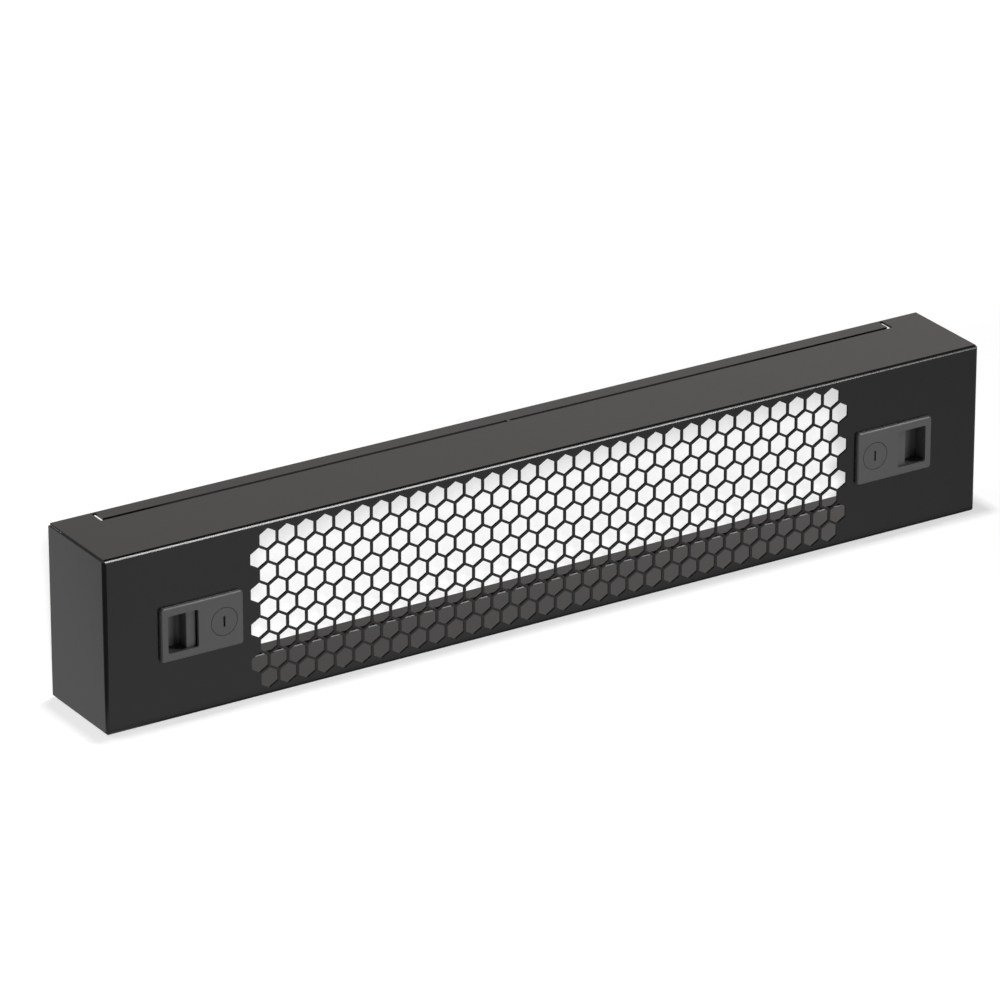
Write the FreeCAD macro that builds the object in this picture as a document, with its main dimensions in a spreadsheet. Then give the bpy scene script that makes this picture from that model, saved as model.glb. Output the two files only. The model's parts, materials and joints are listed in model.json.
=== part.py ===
import FreeCAD, Part
import math
import os
import re
import Sketcher

# Lockable security cover for a 19-inch rack, two rack units high, in millimetres.
# Frame: X across the rack, Y from the front to the rear, Z up, origin under the middle of the box.

SIZES = {
    # Folded sheet cover
    "cover_width": 482.6,
    "cover_height": 86.7,
    "cover_depth": 50.8,
    "sheet_thickness": 1.0,
    "bend_radius": 0.7,
    "seam_gap": 0.05,
    "bottom_setback": 2.2,
    # Hexagonal perforation: rows of hex_columns holes between rows of one hole less
    "hex_flats": 8.84,
    "hex_web": 1.2,
    "hex_columns": 33,
    "long_rows": 4,
    # Break-out strips along the rear of the top and bottom walls
    "strip_inset": 21.95,
    "strip_depth": 8.2,
    "top_slot": 2.0,
    "bottom_slot": 2.9,
    "strip_slit": 1.9,
    "strip_tab": 1.3,
    "strip_bridge": 1.8,
    # Latch housing, a moulded bezel with a body behind it
    "latch_inset": 28.1,
    "bezel_length": 43.0,
    "bezel_height": 26.6,
    "bezel_proud": 2.0,
    "bezel_corner": 1.5,
    "bezel_chamfer": 0.5,
    "bezel_lip": 2.2,
    "window_clearance": 0.2,
    "face_thickness": 1.6,
    "housing_wall": 1.0,
    "barb_width": 12.0,
    "barb_height": 0.9,
    "barb_length": 2.6,
    "barb_clearance": 0.1,
    "opening_inset": 3.5,
    "opening_length": 15.9,
    "opening_height": 18.5,
    "opening_corner": 1.0,
    # Slider with finger bar, pocket floor, bolt tongue and locking tooth
    "slide_clearance": 0.3,
    "pocket_depth": 8.4,
    "bar_gap": 0.3,
    "bar_width": 5.3,
    "bar_round": 0.5,
    "scoop_radius": 1.6,
    "slider_plate": 2.5,
    "tongue_height": 13.0,
    "tongue_tip": 0.8,
    "tongue_ramp": 3.0,
    "bolt_reach": 3.0,
    "tooth_width": 1.4,
    "tooth_reach": 2.2,
    # Lock plug and its cam
    "lock_inset": 10.1,
    "head_diameter": 14.0,
    "head_groove": 0.25,
    "head_thickness": 1.1,
    "head_clearance": 0.1,
    "plug_diameter": 8.2,
    "plug_clearance": 0.05,
    "boss_wall": 1.5,
    "boss_depth": 5.5,
    "keyway_width": 1.0,
    "keyway_height": 5.2,
    "keyway_depth": 7.0,
    "shank_square": 3.6,
    "shank_clearance": 0.05,
    "shank_short": 0.2,
    "cam_thickness": 2.0,
    "cam_hub": 6.4,
    "lobe_radius": 5.4,
    "lobe_width": 3.2,
    "lobe_clearance": 0.4,
    # Strip spring folded in zigzag
    "spring_leaf": 0.6,
    "spring_width": 3.0,
    "spring_height": 3.0,
    "spring_seat": 0.3,
    # Back plate with two clips that snap over lugs on the housing
    "back_thickness": 1.5,
    "back_inset": 0.6,
    "clip_width": 8.0,
    "clip_thickness": 1.0,
    "clip_length": 6.5,
    "clip_bar": 1.5,
    "clip_clearance": 0.15,
    "lug_width": 5.0,
    "lug_height": 0.7,
    "lug_length": 2.0,
    # Rack bracket with its keeper slot
    "bracket_thickness": 1.5,
    "bracket_height": 74.0,
    "bracket_clearance": 0.5,
    "bracket_bend": 1.0,
    "keeper_inset": 20.5,
    "arm_front": 4.0,
    "arm_height": 36.0,
    "arm_foot": 9.0,
    "rack_hole_inset": 8.75,
    "rack_hole_rise": 44.45,
    "rack_slot_width": 6.8,
    "rack_slot_length": 10.2,
}

SPRING_LEGS = 8

# Heights in depth, measured from the front face of the sheet, positive to the rear
FRONT_Y = "(bezel_proud - cover_depth) / 2"
FACE = "-bezel_proud"
FACE_BACK = "(face_thickness - bezel_proud)"
BAR_FRONT = f"({FACE_BACK} + slide_clearance)"
FLOOR = "(pocket_depth - bezel_proud)"
FLOOR_BACK = f"({FLOOR} + slider_plate)"
GUIDE = f"({FLOOR_BACK} + slide_clearance)"
CAM_FRONT = "(boss_depth + slide_clearance)"
CAM_BACK = f"({CAM_FRONT} + cam_thickness)"
PLATE_BACK = f"({GUIDE} + back_thickness)"
CLIP_FRONT = f"({PLATE_BACK} - clip_length)"
LUG_FRONT = f"({CLIP_FRONT} + clip_bar + clip_clearance)"
LUG_BACK = f"({LUG_FRONT} + lug_length)"

# Steps of the hexagonal field, from hole to hole along a row and from row to row of the same kind
HEX_PITCH = "(hex_flats + hex_web)"
HEX_RISE = f"({HEX_PITCH} * sqrt(3))"

# Places along a latch, measured from the middle of its bezel, positive towards the middle of the cover
BODY_END = "(bezel_length / 2 - bezel_lip)"
BODY_HALF = "(bezel_height / 2 - bezel_lip)"
CHAMBER_END = f"({BODY_END} - housing_wall)"
CHAMBER_HALF = f"({BODY_HALF} - housing_wall)"
OPENING_OUTER = "(opening_inset - bezel_length / 2)"
OPENING_INNER = f"({OPENING_OUTER} + opening_length)"
BAR_INNER = f"({OPENING_INNER} - bar_gap)"
BAR_OUTER = f"({BAR_INNER} - bar_width)"
SLIDER_HALF = f"({CHAMBER_HALF} - slide_clearance)"
SLIDER_END = f"(slide_clearance - {CHAMBER_END})"
LOCK_AXIS = "(bezel_length / 2 - lock_inset)"
TOOTH_INNER = f"({LOCK_AXIS} - lobe_width / 2 - lobe_clearance)"
TOOTH_OUTER = f"({TOOTH_INNER} - tooth_width)"
ARM_LOW = "(sqrt(lobe_radius ^ 2 + lobe_width ^ 2 / 4) + lobe_clearance)"
TOOTH_TIP = f"({ARM_LOW} - tooth_reach)"
LATCH_INSET = "(latch_inset + bezel_length / 2)"
LOCK_INSET = "(latch_inset + bezel_length - lock_inset)"

DOC = FreeCAD.newDocument("rack_security_cover")
PIECES = []


def write_sheet():
    """Keep every driving dimension in a spreadsheet, one named cell each."""
    sheet = DOC.addObject("Spreadsheet::Sheet", "Sizes")
    for row, (name, value) in enumerate(SIZES.items(), 1):
        sheet.set(f"A{row}", name)
        sheet.set(f"B{row}", str(value))
        sheet.setAlias(f"B{row}", name)
    DOC.recompute()


def formula(text):
    """Turn the size names in a formula into references to the sheet's cells."""
    def reference(word):
        return f"Sizes.{word.group()}" if word.group() in SIZES else word.group()
    return re.sub(r"[a-z_]+", reference, text)


def sheet_value(text):
    """Number that a formula gives with the sheet's present sizes."""
    probe = DOC.addObject("App::FeaturePython", "probe")
    probe.addProperty("App::PropertyFloat", "Result")
    probe.setExpression("Result", formula(text))
    DOC.recompute()
    result = probe.Result
    DOC.removeObject(probe.Name)
    return result


def new_body(label, side=None, inset="0"):
    """Start a sub-part. Side pieces sit at mid-height, and the right one is the left one turned half round."""
    body = DOC.addObject("PartDesign::Body", label)
    body.Label = label
    turn = 180 if side == "right" else 0
    body.Placement = FreeCAD.Placement(FreeCAD.Vector(), FreeCAD.Rotation(FreeCAD.Vector(0, 1, 0), turn))
    body.setExpression("Placement.Base.y", formula(FRONT_Y))
    if side:
        sign = "" if side == "right" else "-"
        body.setExpression("Placement.Base.x", formula(f"{sign}(cover_width / 2 - {inset})"))
        body.setExpression("Placement.Base.z", formula("cover_height / 2"))
    PIECES.append(body)
    return body


def new_sketch(body, name, plane, level):
    """Attach a sketch parallel to one of the body's origin planes, at the given level along +X, +Y or +Z."""
    sketch = body.newObject("Sketcher::SketchObject", name)
    support = next(item for item in body.Origin.OriginFeatures if item.Role == plane)
    sketch.AttachmentSupport = [(support, "")]
    sketch.MapMode = "FlatFace"
    sign = "-" if plane == "XZ_Plane" else ""
    sketch.setExpression("AttachmentOffset.Base.z", formula(f"{sign}({level})"))
    return sketch


def bind(sketch, constraint, text):
    """Add a dimension whose value follows a formula."""
    index = sketch.addConstraint(constraint)
    sketch.setExpression(f"Constraints[{index}]", formula(text))


def fix_point(sketch, element, vertex, across, up):
    """Hold one point of a sketch element at its place from the sketch's origin."""
    bind(sketch, Sketcher.Constraint("DistanceX", -1, 1, element, vertex, 1.0), across)
    bind(sketch, Sketcher.Constraint("DistanceY", -1, 1, element, vertex, 1.0), up)


def polygon(*points):
    """Closed outline of straight lines through points given as formulas."""
    def draw(sketch):
        first = sketch.GeometryCount
        count = len(points)
        turns = [2 * math.pi * step / count for step in range(count)]
        starts = [FreeCAD.Vector(math.cos(turn), math.sin(turn), 0) for turn in turns]
        for step in range(count):
            sketch.addGeometry(Part.LineSegment(starts[step], starts[(step + 1) % count]))
        for step, (across, up) in enumerate(points):
            follower = first + (step + 1) % count
            sketch.addConstraint(Sketcher.Constraint("Coincident", first + step, 2, follower, 1))
            fix_point(sketch, first + step, 1, across, up)
    return draw


def rectangle(left, right, low, high):
    """Upright rectangle between four formulas."""
    return polygon((left, low), (right, low), (right, high), (left, high))


def circle(across, up, diameter):
    """Circle about a point."""
    def draw(sketch):
        place = sketch.addGeometry(Part.Circle(FreeCAD.Vector(), FreeCAD.Vector(0, 0, 1), 1.0))
        fix_point(sketch, place, 3, across, up)
        bind(sketch, Sketcher.Constraint("Diameter", place, 2.0), diameter)
    return draw


def extrude(body, kind, name, plane, start, end, outlines):
    """Pad or pocket outlines from the start level to the end level along +X, +Y or +Z."""
    sketch = new_sketch(body, f"{name}_sketch", plane, start)
    for draw in outlines:
        draw(sketch)
    feature = body.newObject(f"PartDesign::{kind}", name)
    feature.Profile = sketch
    feature.setExpression("Length", formula(f"({end}) - ({start})"))
    feature.Reversed = (plane == "XZ_Plane") == (kind == "Pad")
    feature.Refine = kind == "Pad"
    DOC.recompute()
    return feature


def pad(body, name, plane, start, end, *outlines):
    """Add material between two levels."""
    return extrude(body, "Pad", name, plane, start, end, outlines)


def pocket(body, name, plane, start, end, *outlines):
    """Cut material between two levels."""
    return extrude(body, "Pocket", name, plane, start, end, outlines)


def revolve(body, name, *points):
    """Turn a profile of radius and depth about the body's Y axis."""
    sketch = new_sketch(body, f"{name}_sketch", "XY_Plane", "0")
    polygon(*points)(sketch)
    feature = body.newObject("PartDesign::Revolution", name)
    feature.Profile = sketch
    feature.ReferenceAxis = (sketch, ["V_Axis"])
    DOC.recompute()
    return feature


def dress(body, kind, name, size, wanted):
    """Round or chamfer the edges of the body's tip whose box passes a test."""
    base = body.Tip
    edges = [f"Edge{index}" for index, edge in enumerate(base.Shape.Edges, 1) if wanted(edge.BoundBox)]
    feature = body.newObject(f"PartDesign::{kind}", name)
    feature.Base = (base, edges)
    feature.setExpression("Radius" if kind == "Fillet" else "Size", formula(size))
    DOC.recompute()
    return feature


def at(low, high, place):
    """Whether an edge's extent lies wholly at one place."""
    return abs(low - place) < 0.01 and abs(high - place) < 0.01


def mirrored(points):
    """The same outline on the other side of the sketch's second axis."""
    return [(f"-({across})", up) for across, up in points]


def hexagon(across, up):
    """Hexagon with upright flats about a point."""
    corner = "hex_flats / sqrt(3)"
    flat = "hex_flats / 2"
    shoulder = "hex_flats / sqrt(12)"
    return polygon(
        (across, f"{up} + {corner}"), (f"{across} - {flat}", f"{up} + {shoulder}"),
        (f"{across} - {flat}", f"{up} - {shoulder}"), (across, f"{up} - {corner}"),
        (f"{across} + {flat}", f"{up} - {shoulder}"), (f"{across} + {flat}", f"{up} + {shoulder}"))


def repeat(body, feature, name, columns, step, rows="1", rise="0"):
    """Repeat a feature in columns and rows along its sketch's axes, at the given steps."""
    field = body.newObject("PartDesign::LinearPattern", name)
    field.Originals = [feature]
    field.Refine = False
    field.Direction = (feature.Profile[0], ["H_Axis"])
    field.setExpression("Length", formula(f"({columns} - 1) * {step}"))
    field.setExpression("Occurrences", formula(columns))
    if rows != "1":
        field.Direction2 = (feature.Profile[0], ["V_Axis"])
        field.setExpression("Length2", formula(f"({rows} - 1) * {rise}"))
        field.setExpression("Occurrences2", formula(rows))
    body.Tip = field
    DOC.recompute()


def hexagon_rows(name, columns, rows):
    """Tool with every second row of the hexagonal field as prisms, centred on the front."""
    body = DOC.addObject("PartDesign::Body", name)
    body.AllowCompound = True
    first = hexagon(f"-({columns} - 1) * {HEX_PITCH} / 2", f"(cover_height - ({rows} - 1) * {HEX_RISE}) / 2")
    prism = pad(body, f"{name}_prism", "XZ_Plane", "0", "sheet_thickness", first)
    repeat(body, prism, f"{name}_field", columns, HEX_PITCH, rows, HEX_RISE)
    return body


def perforate(body):
    """Cut the hexagonal field. Split lines first part the flat front, so that each face has few holes."""
    flat = "(bend_radius + sheet_thickness)"
    start = f"-(hex_columns - 1) * {HEX_PITCH} / 2"
    split = pad(body, "split_lines", "XZ_Plane", "0", "sheet_thickness",
                rectangle(start, f"{start} + {HEX_PITCH}", flat, f"cover_height - {flat}"))
    split.Refine = False
    repeat(body, split, "split_field", "floor(hex_columns / 2)", f"2 * {HEX_PITCH}")
    cut = body.newObject("PartDesign::Boolean", "perforation")
    cut.Type = "Cut"
    cut.Refine = False
    cut.setObjects([hexagon_rows("long_rows_tool", "hex_columns", "long_rows"),
                    hexagon_rows("short_rows_tool", "(hex_columns - 1)", "(long_rows + 1)")])
    DOC.recompute()


def break_out_strip(body, name, low, high, rear, slot):
    """Cut the two L-shaped slots that leave a strip on a bridge and two tabs."""
    outer = "strip_inset - cover_width / 2"
    front = f"{rear} - strip_depth - {slot}"
    edge = f"{rear} - strip_depth"
    corner = f"{outer} + strip_slit"
    end = f"{rear} - strip_tab"
    left = [(outer, front), ("-strip_bridge / 2", front), ("-strip_bridge / 2", edge),
            (corner, edge), (corner, end), (outer, end)]
    pocket(body, name, "XY_Plane", low, high, polygon(*left), polygon(*mirrored(left)))


def build_cover():
    """One sheet: perforated front, four folded walls, open corner seams, latch windows and strips."""
    body = new_body("security_cover")
    half = "cover_width / 2"
    inner = "(cover_width / 2 - sheet_thickness)"
    top = "cover_height - sheet_thickness"
    thickness = SIZES["sheet_thickness"]
    pad(body, "block", "XZ_Plane", "0", "cover_depth", rectangle(f"-{half}", half, "0", "cover_height"))
    dress(body, "Fillet", "outer_bends", "bend_radius + sheet_thickness",
          lambda box: at(box.YMin, box.YMax, 0))
    pocket(body, "cavity", "XZ_Plane", "sheet_thickness", "cover_depth",
           rectangle(f"-{inner}", inner, "sheet_thickness", top))
    dress(body, "Fillet", "inner_bends", "bend_radius", lambda box: at(box.YMin, box.YMax, thickness))
    low = ("0", "sheet_thickness + seam_gap")
    high = ("cover_height - sheet_thickness - seam_gap", "cover_height")
    seams = [rectangle(left, right, *level) for level in (low, high)
             for left, right in ((f"-{half}", f"-{inner}"), (inner, half))]
    pocket(body, "seams", "XZ_Plane", "0", "cover_depth", *seams)
    pocket(body, "bottom_edge", "XZ_Plane", "cover_depth - bottom_setback", "cover_depth",
           rectangle(f"-{inner}", inner, "0", "sheet_thickness"))
    window_outer = "(latch_inset + bezel_lip - window_clearance - cover_width / 2)"
    window_inner = "(latch_inset + bezel_length - bezel_lip + window_clearance - cover_width / 2)"
    rise = f"({BODY_HALF} + window_clearance)"
    sill = f"cover_height / 2 - {rise}"
    lintel = f"cover_height / 2 + {rise}"
    pocket(body, "latch_windows", "XZ_Plane", "0", "sheet_thickness",
           rectangle(window_outer, window_inner, sill, lintel),
           rectangle(f"-{window_inner}", f"-{window_outer}", sill, lintel))
    break_out_strip(body, "top_strip", top, "cover_height", "cover_depth", "top_slot")
    break_out_strip(body, "bottom_strip", "0", "sheet_thickness", "cover_depth - bottom_setback", "bottom_slot")
    perforate(body)


def build_housing(side):
    """Moulded bezel, body and lock boss in one piece, with barbs for the panel and lugs for the back plate."""
    body = new_body(f"{side}_latch_housing", side, LATCH_INSET)
    half = "bezel_length / 2"
    rise = "bezel_height / 2"
    face = -SIZES["bezel_proud"]
    pad(body, "bezel", "XZ_Plane", FACE, "0", rectangle(f"-{half}", half, f"-{rise}", rise))
    dress(body, "Fillet", "bezel_corners", "bezel_corner", lambda box: box.YLength > 0.01)
    dress(body, "Chamfer", "bezel_edge", "bezel_chamfer", lambda box: at(box.YMin, box.YMax, face))
    pad(body, "case", "XZ_Plane", "0", GUIDE,
        rectangle(f"-{BODY_END}", BODY_END, f"-{BODY_HALF}", BODY_HALF))
    pocket(body, "chamber", "XZ_Plane", FACE_BACK, GUIDE,
           rectangle(f"-{CHAMBER_END}", CHAMBER_END, f"-{CHAMBER_HALF}", CHAMBER_HALF))
    bore = "plug_diameter + 2 * plug_clearance"
    pad(body, "boss", "XZ_Plane", FACE_BACK, "boss_depth", circle(LOCK_AXIS, "0", f"{bore} + 2 * boss_wall"))
    pocket(body, "lock_bore", "XZ_Plane", FACE, "boss_depth", circle(LOCK_AXIS, "0", bore))
    pocket(body, "head_seat", "XZ_Plane", FACE, f"{FACE} + head_thickness + head_clearance",
           circle(LOCK_AXIS, "0", "head_diameter"))
    opening_rise = "opening_height / 2"
    pocket(body, "opening", "XZ_Plane", FACE, FACE_BACK,
           rectangle(OPENING_OUTER, OPENING_INNER, f"-{opening_rise}", opening_rise))
    corners = sheet_value(OPENING_OUTER), sheet_value(OPENING_INNER)
    dress(body, "Fillet", "opening_corners", "opening_corner",
          lambda box: box.YLength > 0.01 and any(at(box.XMin, box.XMax, place) for place in corners))
    window_rise = "(tongue_height / 2 + slide_clearance)"
    pocket(body, "tongue_window", "YZ_Plane", f"-{BODY_END}", f"-{CHAMBER_END}",
           rectangle(f"{FLOOR} - slide_clearance", GUIDE, f"-{window_rise}", window_rise))
    catch = "(sheet_thickness + barb_clearance)"
    barb = [(catch, f"{BODY_HALF} + barb_height"), (catch, BODY_HALF), (f"{catch} + barb_length", BODY_HALF)]
    lug = [(LUG_FRONT, f"{BODY_HALF} + lug_height"), (LUG_FRONT, BODY_HALF), (LUG_BACK, BODY_HALF)]
    for name, wedge, width in (("barbs", barb, "barb_width"), ("lugs", lug, "lug_width")):
        lower = [(deep, f"-({rise})") for deep, rise in wedge]
        pad(body, name, "YZ_Plane", f"-{width} / 2", f"{width} / 2", polygon(*wedge), polygon(*lower))


def build_slider(side):
    """Finger bar, pocket floor, ramped bolt tongue and the arm with the locking tooth."""
    body = new_body(f"{side}_latch_slider", side, LATCH_INSET)
    pad(body, "floor", "XZ_Plane", FLOOR, FLOOR_BACK,
        rectangle(SLIDER_END, BAR_INNER, f"-{SLIDER_HALF}", SLIDER_HALF))
    pad(body, "bar", "XZ_Plane", BAR_FRONT, FLOOR,
        rectangle(BAR_OUTER, BAR_INNER, f"-{SLIDER_HALF}", SLIDER_HALF))
    front, floor, outer = sheet_value(BAR_FRONT), sheet_value(FLOOR), sheet_value(BAR_OUTER)
    dress(body, "Fillet", "bar_edges", "bar_round",
          lambda box: at(box.YMin, box.YMax, front) and box.ZLength > box.XLength)
    dress(body, "Fillet", "scoop", "scoop_radius",
          lambda box: at(box.YMin, box.YMax, floor) and at(box.XMin, box.XMax, outer))
    tip = f"keeper_inset - bolt_reach - {LATCH_INSET}"
    pad(body, "tongue", "XY_Plane", "-tongue_height / 2", "tongue_height / 2",
        polygon((SLIDER_END, FLOOR), (SLIDER_END, FLOOR_BACK), (f"{tip} + tongue_ramp", FLOOR_BACK),
                (tip, f"{FLOOR} + tongue_tip"), (tip, FLOOR)))
    pad(body, "arm", "XZ_Plane", CAM_FRONT, FLOOR_BACK,
        rectangle(BAR_OUTER, TOOTH_INNER, ARM_LOW, SLIDER_HALF))
    pad(body, "tooth", "XZ_Plane", CAM_FRONT, CAM_BACK,
        rectangle(TOOTH_OUTER, TOOTH_INNER, TOOTH_TIP, ARM_LOW))


def build_plug(side):
    """Round lock face with its keyway, the barrel and the square end for the cam."""
    body = new_body(f"{side}_lock_plug", side, LOCK_INSET)
    head = "(head_diameter / 2 - head_groove)"
    barrel = "plug_diameter / 2"
    under = f"{FACE} + head_thickness"
    revolve(body, "turned", ("0", FACE), (head, FACE), (head, under), (barrel, under),
            (barrel, "boss_depth"), ("0", "boss_depth"))
    square = "shank_square / 2"
    pad(body, "square_end", "XZ_Plane", "boss_depth", f"{CAM_BACK} - shank_short",
        rectangle(f"-{square}", square, f"-{square}", square))
    across, up = "keyway_width / 2", "keyway_height / 2"
    pocket(body, "keyway", "XZ_Plane", FACE, f"{FACE} + keyway_depth",
           rectangle(f"-{across}", across, f"-{up}", up))


def build_cam(side):
    """Lobe that turns with the plug. It points inwards when unlocked and up at the tooth when locked."""
    body = new_body(f"{side}_lock_cam", side, LOCK_INSET)
    pad(body, "hub", "XZ_Plane", CAM_FRONT, CAM_BACK, circle("0", "0", "cam_hub"))
    pad(body, "lobe", "XZ_Plane", CAM_FRONT, CAM_BACK,
        rectangle("0", "lobe_radius", "-lobe_width / 2", "lobe_width / 2"))
    half = "(shank_square / 2 + shank_clearance)"
    pocket(body, "square_hole", "XZ_Plane", CAM_FRONT, CAM_BACK,
           rectangle(f"-{half}", half, f"-{half}", half))


def build_spring(side):
    """Strip folded in zigzag between the finger bar and the inner end of the housing."""
    body = new_body(f"{side}_latch_spring", side, LATCH_INSET)
    start = f"({BAR_INNER} + spring_seat)"
    high = "(-plug_diameter / 2 - plug_clearance - boss_wall - slide_clearance - spring_leaf / 2)"
    low = f"({high} - spring_height)"
    middle = f"({high} - spring_height / 2)"
    step = f"({CHAMBER_END} - {start}) / {SPRING_LEGS}"
    rises = [middle] + [low if leg % 2 else high for leg in range(1, SPRING_LEGS)] + [middle]
    line = [(f"{start} + {leg} * {step}", rise) for leg, rise in enumerate(rises)]
    upper = [(across, f"{rise} + spring_leaf / 2") for across, rise in line]
    under = [(across, f"{rise} - spring_leaf / 2") for across, rise in reversed(line)]
    pad(body, "strip", "XZ_Plane", f"{FLOOR_BACK} - spring_width", FLOOR_BACK, polygon(*upper, *under))


def build_back_plate(side):
    """Plate that closes the housing and carries the slider, with a clip over the lug on each long wall."""
    body = new_body(f"{side}_latch_back_plate", side, LATCH_INSET)
    end = f"({BODY_END} - back_inset)"
    edge = f"({BODY_HALF} - back_inset)"
    pad(body, "plate", "XZ_Plane", GUIDE, PLATE_BACK, rectangle(f"-{end}", end, f"-{edge}", edge))
    inner_face = f"({BODY_HALF} + clip_clearance)"
    outer_face = f"({inner_face} + clip_thickness)"
    clip = [(GUIDE, edge), (GUIDE, inner_face), (CLIP_FRONT, inner_face), (CLIP_FRONT, outer_face),
            (PLATE_BACK, outer_face), (PLATE_BACK, edge)]
    lower = [(deep, f"-({rise})") for deep, rise in clip]
    pad(body, "clips", "YZ_Plane", "-clip_width / 2", "clip_width / 2", polygon(*clip), polygon(*lower))
    half = "(lug_width / 2 + clip_clearance)"
    window = rectangle(f"-{half}", half, f"{CLIP_FRONT} + clip_bar", f"{LUG_BACK} + clip_clearance")
    pocket(body, "upper_window", "XY_Plane", inner_face, outer_face, window)
    pocket(body, "lower_window", "XY_Plane", f"-{outer_face}", f"-{inner_face}", window)


def build_bracket(side):
    """Folded rack bracket: slotted plate against the rack and a forward arm with the keeper slot."""
    body = new_body(f"{side}_rack_bracket", side)
    plate_outer = "(sheet_thickness + bracket_clearance)"
    arm_inner = "(keeper_inset + bracket_thickness)"
    plate_front = "(cover_depth - bracket_thickness)"
    rise = "bracket_height / 2"
    pad(body, "fold", "XY_Plane", f"-{rise}", rise,
        polygon((plate_outer, plate_front), ("keeper_inset", plate_front), ("keeper_inset", "arm_front"),
                (arm_inner, "arm_front"), (arm_inner, "cover_depth"), (plate_outer, "cover_depth")))
    corners = [(sheet_value(arm_inner), sheet_value("cover_depth")),
               (sheet_value("keeper_inset"), sheet_value(plate_front))]
    for name, radius, (across, deep) in (("bend_outside", "bracket_bend + bracket_thickness", corners[0]),
                                         ("bend_inside", "bracket_bend", corners[1])):
        dress(body, "Fillet", name, radius,
              lambda box: at(box.XMin, box.XMax, across) and at(box.YMin, box.YMax, deep))
    shoulder = f"{plate_front} - arm_foot"
    upper = [("arm_front", "arm_height / 2"), (shoulder, rise), ("arm_front", rise)]
    lower = [(across, f"-({up})") for across, up in upper]
    pocket(body, "arm_taper", "YZ_Plane", "keeper_inset", arm_inner, polygon(*upper), polygon(*lower))
    slot_rise = "(tongue_height / 2 + slide_clearance)"
    pocket(body, "keeper_slot", "YZ_Plane", "keeper_inset", arm_inner,
           rectangle(f"{FLOOR} - slide_clearance", GUIDE, f"-{slot_rise}", slot_rise))
    half = "(rack_slot_length - rack_slot_width) / 2"
    ends = [f"(rack_hole_inset - {half})", f"(rack_hole_inset + {half})"]
    rises = ["rack_hole_rise / 2", "-rack_hole_rise / 2"]
    radius = "rack_slot_width / 2"
    pocket(body, "slot_middles", "XZ_Plane", plate_front, "cover_depth",
           *[rectangle(*ends, f"{place} - {radius}", f"{place} + {radius}") for place in rises])
    for number, end in enumerate(ends):
        pocket(body, f"slot_ends_{number}", "XZ_Plane", plate_front, "cover_depth",
               *[circle(end, place, "rack_slot_width") for place in rises])


def check_pieces():
    """Stop before anything is written if a feature failed, a pocket cut nothing or a shape is bad."""
    for item in DOC.Objects:
        if "Invalid" in item.State or "Error" in item.State:
            raise RuntimeError(f"{item.Name} failed: {item.State}")
        cuts = item.TypeId in ("PartDesign::Pocket", "PartDesign::Boolean")
        if cuts and item.BaseFeature.Shape.Volume - item.Shape.Volume < 1e-6:
            raise RuntimeError(f"{item.Name} cuts nothing")
    for body in PIECES:
        if body.Shape.isNull() or not body.Shape.isValid() or not body.Shape.Solids:
            raise RuntimeError(f"{body.Label} has no sound shape")


def main():
    write_sheet()
    build_cover()
    for side in ("left", "right"):
        build_housing(side)
        build_slider(side)
        build_plug(side)
        build_cam(side)
        build_spring(side)
        build_back_plate(side)
        build_bracket(side)
    DOC.recompute()
    check_pieces()
    os.makedirs("parts", exist_ok=True)
    for body in PIECES:
        body.Shape.exportStep(f"parts/{body.Label}.step")


main()
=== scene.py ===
import json
import math

import bpy
from mathutils import Matrix, Vector


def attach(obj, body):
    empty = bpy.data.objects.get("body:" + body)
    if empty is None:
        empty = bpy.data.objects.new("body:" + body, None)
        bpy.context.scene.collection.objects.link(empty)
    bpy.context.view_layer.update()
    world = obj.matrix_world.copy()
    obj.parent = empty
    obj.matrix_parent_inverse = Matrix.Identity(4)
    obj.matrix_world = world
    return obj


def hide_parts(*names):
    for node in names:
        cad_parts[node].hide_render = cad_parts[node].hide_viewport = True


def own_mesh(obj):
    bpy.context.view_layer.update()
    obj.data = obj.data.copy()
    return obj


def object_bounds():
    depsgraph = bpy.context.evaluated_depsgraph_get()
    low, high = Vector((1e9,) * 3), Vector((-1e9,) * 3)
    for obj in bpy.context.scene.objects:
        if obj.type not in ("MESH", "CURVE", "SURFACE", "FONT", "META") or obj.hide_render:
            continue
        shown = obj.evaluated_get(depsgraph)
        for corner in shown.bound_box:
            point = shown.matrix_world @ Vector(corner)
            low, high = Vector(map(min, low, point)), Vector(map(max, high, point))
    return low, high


# Perforated rack panel: looks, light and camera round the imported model

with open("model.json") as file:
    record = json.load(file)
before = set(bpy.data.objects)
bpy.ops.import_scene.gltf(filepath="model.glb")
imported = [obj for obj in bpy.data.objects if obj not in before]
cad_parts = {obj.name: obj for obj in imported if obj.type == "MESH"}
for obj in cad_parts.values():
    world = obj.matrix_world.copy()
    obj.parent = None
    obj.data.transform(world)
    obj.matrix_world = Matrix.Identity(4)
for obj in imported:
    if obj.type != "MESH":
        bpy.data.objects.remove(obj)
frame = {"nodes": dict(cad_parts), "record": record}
cad_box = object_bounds()
nodes = frame["nodes"]
scene = bpy.context.scene
scene.view_settings.view_transform = "Standard"

# Edges of the object, in metres, and directions of the shared frame

(LEFT, FRONT, FOOT), (RIGHT, REAR, TOP) = cad_box
ACROSS = (1, 0, 0)
BACK = (0, 1, 0)
UP = (0, 0, 1)


# Shader nodes

def feed(tree, item, inputs):
    """Set inputs of a node to numbers or colours, or link them to sockets."""
    for name, value in inputs.items():
        if isinstance(value, bpy.types.NodeSocket):
            tree.links.new(value, item.inputs[name])
        else:
            item.inputs[name].default_value = value


def node(tree, kind, inputs=None, **settings):
    """Add a node with its settings and inputs."""
    item = tree.nodes.new(kind)
    for name, value in settings.items():
        setattr(item, name, value)
    feed(tree, item, inputs or {})
    return item


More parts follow.
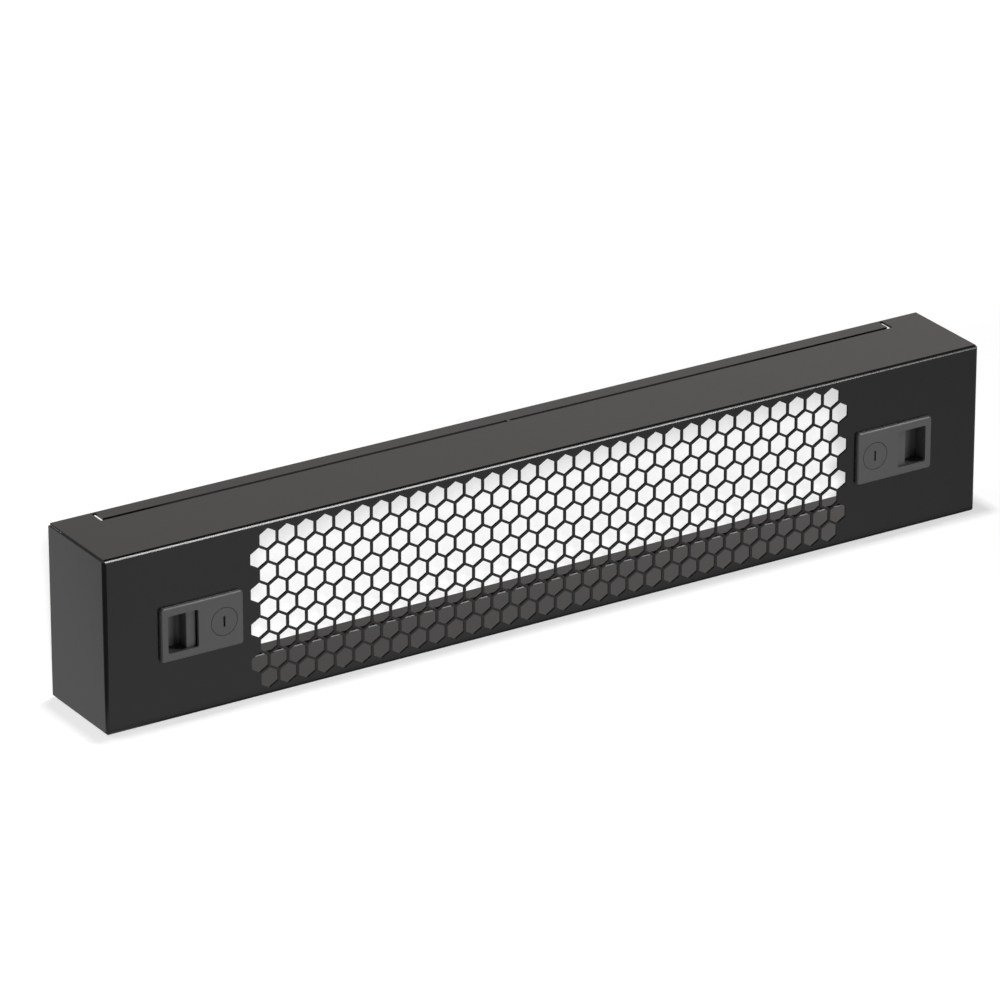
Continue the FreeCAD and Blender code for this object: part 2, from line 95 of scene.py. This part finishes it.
def combine(tree, operation, *terms):
    """Sum, difference, product or maximum of sockets and numbers, taken in turn."""
    total = terms[0]
    for term in terms[1:]:
        total = node(tree, "ShaderNodeMath", {0: total, 1: term}, operation=operation).outputs[0]
    return total


def ramp(tree, value, between, strength, shape="LINEAR"):
    """Change from one strength to another as a value goes between two limits."""
    limits = {"Value": value, "From Min": between[0], "From Max": between[1],
              "To Min": strength[0], "To Max": strength[1]}
    return node(tree, "ShaderNodeMapRange", limits, interpolation_type=shape).outputs["Result"]


def along(tree, vector, direction, between, strength):
    """Smooth change of strength between two places along a direction."""
    reach = node(tree, "ShaderNodeVectorMath", {0: vector, 1: direction}, operation="DOT_PRODUCT")
    return ramp(tree, reach.outputs["Value"], between, strength, "SMOOTHSTEP")


def straight_ray(path):
    """One for a ray that comes straight or through glass from the camera, and nought for others."""
    tree = path.id_data
    return combine(tree, "MAXIMUM", path.outputs["Is Camera Ray"], path.outputs["Is Transmission Ray"])


# Materials

NOISE_RANGE = (0.3, 0.7)    # nearly all values of a noise lie between these
GLOSS_SCALE = 3.1           # the gloss varies over shorter distances than the colour


def grain(tree, scale, detail, roughness):
    """Noise in object coordinates, which are metres in the shared frame."""
    place = node(tree, "ShaderNodeTexCoord").outputs["Object"]
    noise = {"Vector": place, "Scale": scale, "Detail": detail, "Roughness": roughness}
    return node(tree, "ShaderNodeTexNoise", noise).outputs["Fac"]


def tint(tree, value, dark, light):
    """Colour between two shades by a noise value."""
    shades = node(tree, "ShaderNodeValToRGB", {"Fac": value})
    for stop, position, shade in zip(shades.color_ramp.elements, NOISE_RANGE, (dark, light)):
        stop.position = position
        stop.color = (*shade, 1)
    return shades.outputs["Color"]


def surface(name, dark, light, cloud_scale, roughness, relief_scale, relief_depth, metallic=0.0):
    """Coat, moulding or metal: clouded colour, uneven gloss and a fine relief, its depth in metres."""
    material = bpy.data.materials.new(name)
    material.use_nodes = True
    tree = material.node_tree
    clouds = grain(tree, cloud_scale, detail=4.0, roughness=0.6)
    gloss = grain(tree, cloud_scale * GLOSS_SCALE, detail=3.0, roughness=0.55)
    height = grain(tree, relief_scale, detail=2.0, roughness=0.5)
    relief = node(tree, "ShaderNodeBump", {"Strength": 1.0, "Distance": relief_depth, "Height": height})
    feed(tree, tree.nodes["Principled BSDF"], {
        "Metallic": metallic,
        "Base Color": tint(tree, clouds, dark, light),
        "Roughness": ramp(tree, gloss, NOISE_RANGE, roughness),
        "Normal": relief.outputs["Normal"],
    })
    return material


SLOT_SURFACES = {
    "black_paint": surface(
        "powder_coat", dark=(0.0042, 0.0041, 0.0040), light=(0.0050, 0.0049, 0.0047), cloud_scale=40,
        roughness=(0.20, 0.22), relief_scale=5000, relief_depth=0.0000003),
    "latch_plastic": surface(
        "grained_plastic", dark=(0.066, 0.066, 0.067), light=(0.071, 0.071, 0.072), cloud_scale=90,
        roughness=(0.37, 0.43), relief_scale=3800, relief_depth=0.000003),
    "lock_plastic": surface(
        "lock_plastic", dark=(0.065, 0.065, 0.066), light=(0.070, 0.070, 0.071), cloud_scale=120,
        roughness=(0.36, 0.42), relief_scale=4200, relief_depth=0.0000025),
    "zinc_steel": surface(
        "zinc_plate", dark=(0.42, 0.43, 0.45), light=(0.56, 0.57, 0.58), cloud_scale=220,
        roughness=(0.28, 0.40), relief_scale=2400, relief_depth=0.000004, metallic=1.0),
    "spring_steel": surface(
        "strip_steel", dark=(0.34, 0.35, 0.37), light=(0.44, 0.45, 0.47), cloud_scale=160,
        roughness=(0.22, 0.34), relief_scale=3000, relief_depth=0.000003, metallic=1.0),
}
for part in frame["record"]["subparts"]:
    mesh = nodes[part["node"]].data
    mesh.materials.clear()
    mesh.materials.append(SLOT_SURFACES[part["material_slot"]])


# Springs, each copied into an object of its own on the cover, with the spring part hidden

for side in ("left", "right"):
    strip = bpy.data.objects.new(f"{side}_spring_strip", nodes[f"{side}_latch_spring"].data.copy())
    scene.collection.objects.link(strip)
    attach(strip, "cover")
    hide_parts(f"{side}_latch_spring")
    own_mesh(strip)


# Floor, with lengths and places in metres

FLOOR_REACH = 30
FLOOR_DROP = 0.0002         # keeps the floor clear of the lower wall
PAPER_COLOUR = (0.8, 0.8, 0.8, 1)
PAPER_ROUGHNESS = 0.9

# The floor's own light, which keeps it white. It grows outwards in an oval.
NEAR_GLOW = 0.25
FAR_GLOW = 1.0
GLOW_OVAL = (0.35, 1, 0)
GLOW_DISTANCE = (0.20, 0.45)
UNDER_INSET = 0.003         # under the object it fades between these two distances from the edges
UNDER_FADED = 0.006

# Painted reflections: parts of the floor that glow only for glossy rays, so the coat shows pale and dark
# reflections painted there. A card of painted reflection is a pair of strengths over a span, from left to
# right or, for the one behind, from front to rear. A line is where a card begins or ends, from front to rear.
AHEAD_PAINTED_REFLECTION = (0.62, 0.43)
AHEAD_SPAN = (-0.1, 0.4)
AHEAD_LINE = (FRONT - 0.0056, FRONT + 0.0044)
AHEAD_LEFTOVER = 0.05       # share of the card ahead that is left past its line
BESIDE_PAINTED_REFLECTION = (0.74, 0.12)
BESIDE_SPAN = (LEFT + 0.0013, LEFT + 0.0413)
BESIDE_LINE = (FRONT - 0.0096, FRONT + 0.0044)
RIGHT_PAINTED_REFLECTION = (0.12, 0.6)
RIGHT_SPAN = (RIGHT - 0.0413, RIGHT + 0.0187)
RIGHT_LINE = (FRONT - 0.0036, FRONT + 0.0164)
BEHIND_PAINTED_REFLECTION = (0, 0.6)
BEHIND_SPAN = (0.25, 0.45)

# The bend at the left front corner mirrors a painted dark reflection: a wedge of floor where the painted
# cards ahead and beside are weak. Its spans are places along the slant.
WEDGE_SLANT = (1, 0.55, 0)
WEDGE_CORNER = Vector(WEDGE_SLANT).dot((LEFT, FRONT, FOOT))
WEDGE_AHEAD = (0.2, 1)
WEDGE_AHEAD_SPAN = (WEDGE_CORNER - 0.0392, WEDGE_CORNER - 0.0092)
WEDGE_BESIDE = (0.22, 1)
WEDGE_BESIDE_SPAN = (WEDGE_CORNER - 0.0212, WEDGE_CORNER - 0.0019)


def glow(tree, here):
    """Own light of the floor: none under the object, little round it and white far off."""
    under = combine(
        tree, "MULTIPLY",
        along(tree, here, ACROSS, (LEFT + UNDER_INSET, LEFT + UNDER_FADED), (0, 1)),
        along(tree, here, ACROSS, (RIGHT - UNDER_FADED, RIGHT - UNDER_INSET), (1, 0)),
        along(tree, here, BACK, (FRONT + UNDER_INSET, FRONT + UNDER_FADED), (0, 1)),
        along(tree, here, BACK, (REAR - UNDER_FADED, REAR - UNDER_INSET), (1, 0)))
    oval = node(tree, "ShaderNodeVectorMath", {0: here, 1: GLOW_OVAL}, operation="MULTIPLY")
    away = node(tree, "ShaderNodeVectorMath", {0: oval.outputs["Vector"]}, operation="LENGTH")
    around = ramp(tree, away.outputs["Value"], GLOW_DISTANCE, (NEAR_GLOW, FAR_GLOW), "SMOOTHSTEP")
    return combine(tree, "SUBTRACT", around, combine(tree, "MULTIPLY", under, NEAR_GLOW))


def painted_reflections(tree, here):
    """Painted reflections: pale and dark parts of the floor that only reflections see."""
    ahead = combine(
        tree, "MULTIPLY",
        along(tree, here, BACK, AHEAD_LINE, (1, AHEAD_LEFTOVER)),
        along(tree, here, WEDGE_SLANT, WEDGE_AHEAD_SPAN, WEDGE_AHEAD),
        along(tree, here, ACROSS, AHEAD_SPAN, AHEAD_PAINTED_REFLECTION))
    beside = combine(
        tree, "MULTIPLY",
        along(tree, here, BACK, BESIDE_LINE, (0, 1)),
        along(tree, here, WEDGE_SLANT, WEDGE_BESIDE_SPAN, WEDGE_BESIDE),
        along(tree, here, ACROSS, BESIDE_SPAN, BESIDE_PAINTED_REFLECTION))
    right_side = combine(
        tree, "MULTIPLY",
        along(tree, here, BACK, RIGHT_LINE, (0, 1)),
        along(tree, here, ACROSS, RIGHT_SPAN, RIGHT_PAINTED_REFLECTION))
    behind = along(tree, here, BACK, BEHIND_SPAN, BEHIND_PAINTED_REFLECTION)
    return combine(tree, "MAXIMUM", ahead, beside, right_side, behind)


def paper():
    """Pale paper that keeps the shadow. Reflections see its painted reflection cards instead."""
    material = bpy.data.materials.new("paper")
    material.use_nodes = True
    tree = material.node_tree
    path = node(tree, "ShaderNodeLightPath")
    here = node(tree, "ShaderNodeTexCoord").outputs["Object"]
    sheet = tree.nodes["Principled BSDF"]
    feed(tree, sheet, {"Base Color": PAPER_COLOUR, "Roughness": PAPER_ROUGHNESS, "Specular IOR Level": 0.0})
    own_light = node(tree, "ShaderNodeEmission", {
        "Strength": combine(tree, "MULTIPLY", straight_ray(path), glow(tree, here))})
    seen = node(tree, "ShaderNodeAddShader", {0: sheet.outputs["BSDF"], 1: own_light.outputs["Emission"]})
    # Painted reflection: the glow that glossy rays see in place of the paper
    painted_reflection = node(tree, "ShaderNodeEmission", {"Strength": painted_reflections(tree, here)})
    either = node(tree, "ShaderNodeMixShader", {
        0: path.outputs["Is Glossy Ray"], 1: seen.outputs["Shader"], 2: painted_reflection.outputs["Emission"]})
    feed(tree, tree.nodes["Material Output"], {"Surface": either.outputs["Shader"]})
    return material


floor_mesh = bpy.data.meshes.new("floor")
corners = [(x * FLOOR_REACH, y * FLOOR_REACH, 0) for x, y in ((-1, -1), (1, -1), (1, 1), (-1, 1))]
floor_mesh.from_pydata(corners, [], [(0, 1, 2, 3)])
floor_mesh.materials.append(paper())
floor = bpy.data.objects.new("floor", floor_mesh)
scene.collection.objects.link(floor)
floor.location.z = FOOT - FLOOR_DROP


# Surroundings: warm white to the camera, faint as light, and a painted reflection of a room that only
# reflections see

WORLD_COLOUR = (1, 0.965, 0.925, 1)
AMBIENT = 0.08

# Painted reflection of the room: spans here are parts of a direction of length one
WALL_SLOPE = (1, 0.5, -0.8)
WALL_SPAN = (0.0, 0.75)
WALL_PAINTED_REFLECTION = (0.03, 0.77)
ROOM_SPAN = (0.2, 0.45)
ROOM_PAINTED_REFLECTION = (0.5, 0.03)
PATCH_ACROSS = (0.15, 0.35)
PATCH_UP = (0.55, 0.70)
PATCH_SHARE = (1, 0.06)


def painted_room_reflection(tree, view):
    """Painted reflection that only glossy rays see: a wall behind that is paler to the right and lower down,
    and a room ahead, dark overhead at the right.
    """
    wall = along(tree, view, WALL_SLOPE, WALL_SPAN, WALL_PAINTED_REFLECTION)
    outside_patch = combine(tree, "MAXIMUM", along(tree, view, ACROSS, PATCH_ACROSS, PATCH_SHARE),
                            along(tree, view, UP, PATCH_UP, PATCH_SHARE))
    room = combine(tree, "MULTIPLY", outside_patch, along(tree, view, BACK, ROOM_SPAN, ROOM_PAINTED_REFLECTION))
    return combine(tree, "MAXIMUM", wall, room)


world = bpy.data.worlds.new("studio")
scene.world = world
world.use_nodes = True
sky = world.node_tree
path = node(sky, "ShaderNodeLightPath")
view = node(sky, "ShaderNodeTexCoord").outputs["Generated"]
feed(sky, sky.nodes["Background"], {
    "Color": WORLD_COLOUR,
    "Strength": combine(
        sky, "ADD", straight_ray(path),
        combine(sky, "MULTIPLY", path.outputs["Is Glossy Ray"], painted_room_reflection(sky, view)),
        combine(sky, "MULTIPLY", path.outputs["Is Diffuse Ray"], AMBIENT)),
})


# Lamps, with distances and sizes in metres and powers in watts

MIDDLE = Vector((0, 0, (FOOT + TOP) / 2))


def softbox(name, direction, distance, size, power, only=(), never=()):
    """Area light that looks at the middle of the object, and may light only some things or spare some."""
    lamp = bpy.data.lights.new(name, "AREA")
    lamp.shape = "RECTANGLE"
    lamp.size, lamp.size_y = size
    lamp.energy = power
    holder = bpy.data.objects.new(name, lamp)
    scene.collection.objects.link(holder)
    aim = Vector(direction).normalized()
    holder.location = MIDDLE + aim * distance
    holder.rotation_euler = aim.to_track_quat("Z", "Y").to_euler()
    links = [(thing, "INCLUDE") for thing in only] + [(thing, "EXCLUDE") for thing in never]
    if links:
        lit = bpy.data.collections.new(f"{name}_lit")
        for index, (thing, state) in enumerate(links):
            lit.objects.link(thing)
            lit.collection_objects[index].light_linking.link_state = state
        holder.light_linking.receiver_collection = lit


cover = nodes["security_cover"]

# The latches and the pieces inside
softbox("key", direction=(0.50, -0.85, 0.10), distance=4.4, size=(1.6, 0.7), power=65, never=(floor, cover))
softbox("rim", direction=(0.49, -0.396, 0.776), distance=3.0, size=(0.5, 0.5), power=33, never=(floor, cover))

# The highlight along the upper front bend, and all things from behind
softbox("edge", direction=(1.82, -3.26, 1.85), distance=4.17, size=(0.6, 3.4), power=158, only=(cover,))
softbox("fill", direction=(-0.60, 0.75, 0.35), distance=2.2, size=(1.5, 1.0), power=10)

# The shadow round the foot, and the one behind that shows through the holes
softbox("top", direction=(0, 0.055, 1), distance=2.2, size=(0.2, 0.2), power=19.7, only=(floor,))
softbox("front", direction=(-2.127, -3.5, 1.9), distance=4.51, size=(0.3, 0.3), power=239, only=(floor,))


# Camera, at the photo's angle

SENSOR_WIDTH = 36
LENS = 258.4
CLIP_END = 100
EYE = (-1.6611, -2.6065, 1.3872)
AZIMUTH = math.radians(-32.265)
ELEVATION = math.radians(23.360)

camera = bpy.data.cameras.new("camera")
camera.sensor_fit = "HORIZONTAL"
camera.sensor_width = SENSOR_WIDTH
camera.lens = LENS
camera.clip_end = CLIP_END
viewer = bpy.data.objects.new("camera", camera)
scene.collection.objects.link(viewer)
level = math.cos(ELEVATION)
forward = Vector((-math.sin(AZIMUTH) * level, math.cos(AZIMUTH) * level, -math.sin(ELEVATION)))
sideways = forward.cross(Vector(UP)).normalized()
upward = sideways.cross(forward)
turn = Matrix((sideways, upward, -forward)).transposed().to_4x4()
viewer.matrix_world = Matrix.Translation(EYE) @ turn
scene.camera = viewer
